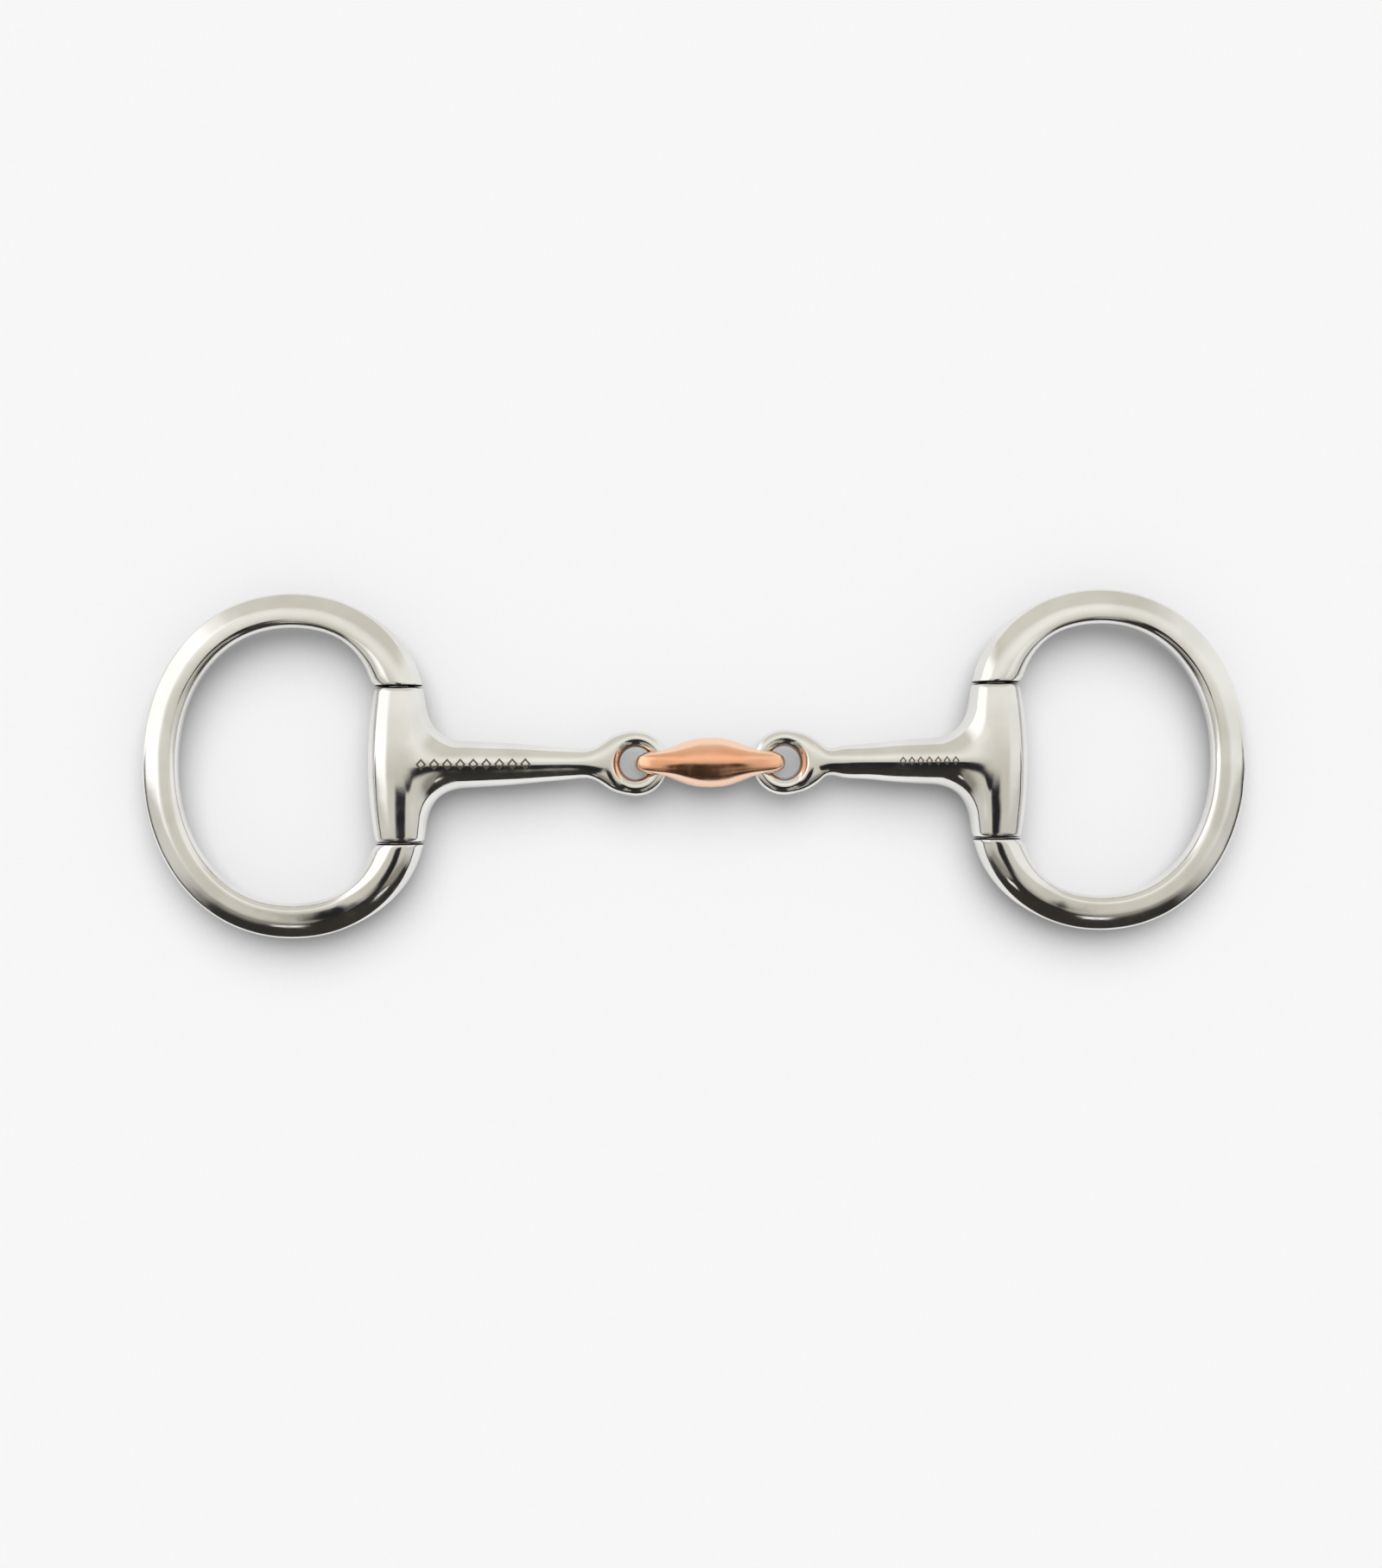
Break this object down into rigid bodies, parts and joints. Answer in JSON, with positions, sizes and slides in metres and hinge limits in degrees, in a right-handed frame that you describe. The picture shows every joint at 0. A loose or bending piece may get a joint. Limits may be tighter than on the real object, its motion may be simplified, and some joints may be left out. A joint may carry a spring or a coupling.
{
  "type": "snaffle bit",
  "caption": "Eggbutt snaffle bit: two tapering steel arms linked by a copper lozenge, each arm's barrel turning on the pin of an oval rein ring.",
  "frame": {"origin": "centre of the whole bit laid out straight and flat, half way between the far edges of its two rings", "axes": "+X along the mouthpiece from the left ring to the right ring, +Y along both hinge pins towards the upper ends of the rings, +Z out of the plane in which the bit lies"},
  "size_m": [0.281, 0.0872, 0.0158],
  "materials": {
    "copper": "polished",
    "polished_steel": "polished",
    "pin_steel": "satin"
  },
  "bodies": {
    "lozenge": {"lozenge": "copper"},
    "left_arm": {"left_mouthpiece_arm": "polished_steel"},
    "right_arm": {"right_mouthpiece_arm": "polished_steel"},
    "left_ring": {"left_ring": "polished_steel", "left_hinge_pin": "pin_steel"},
    "right_ring": {"right_ring": "polished_steel", "right_hinge_pin": "pin_steel"}
  },
  "joints": [
    {"name": "left_eye_fold", "type": "hinge", "parent": "lozenge", "child": "left_arm", "pos_m": [-0.0099, 0, 0], "axis": [0, -1, 0], "range_deg": [-45, 45]},
    {"name": "right_eye_fold", "type": "hinge", "parent": "lozenge", "child": "right_arm", "pos_m": [0.0155, 0, 0], "axis": [0, 1, 0], "range_deg": [-45, 45]},
    {"name": "left_ring_swivel", "type": "hinge", "parent": "left_arm", "child": "left_ring", "pos_m": [-0.076, 0, 0], "axis": [0, -1, 0], "range_deg": [-90, 90]},
    {"name": "right_ring_swivel", "type": "hinge", "parent": "right_arm", "child": "right_ring", "pos_m": [0.076, 0, 0], "axis": [0, 1, 0], "range_deg": [-90, 90]}
  ]
}
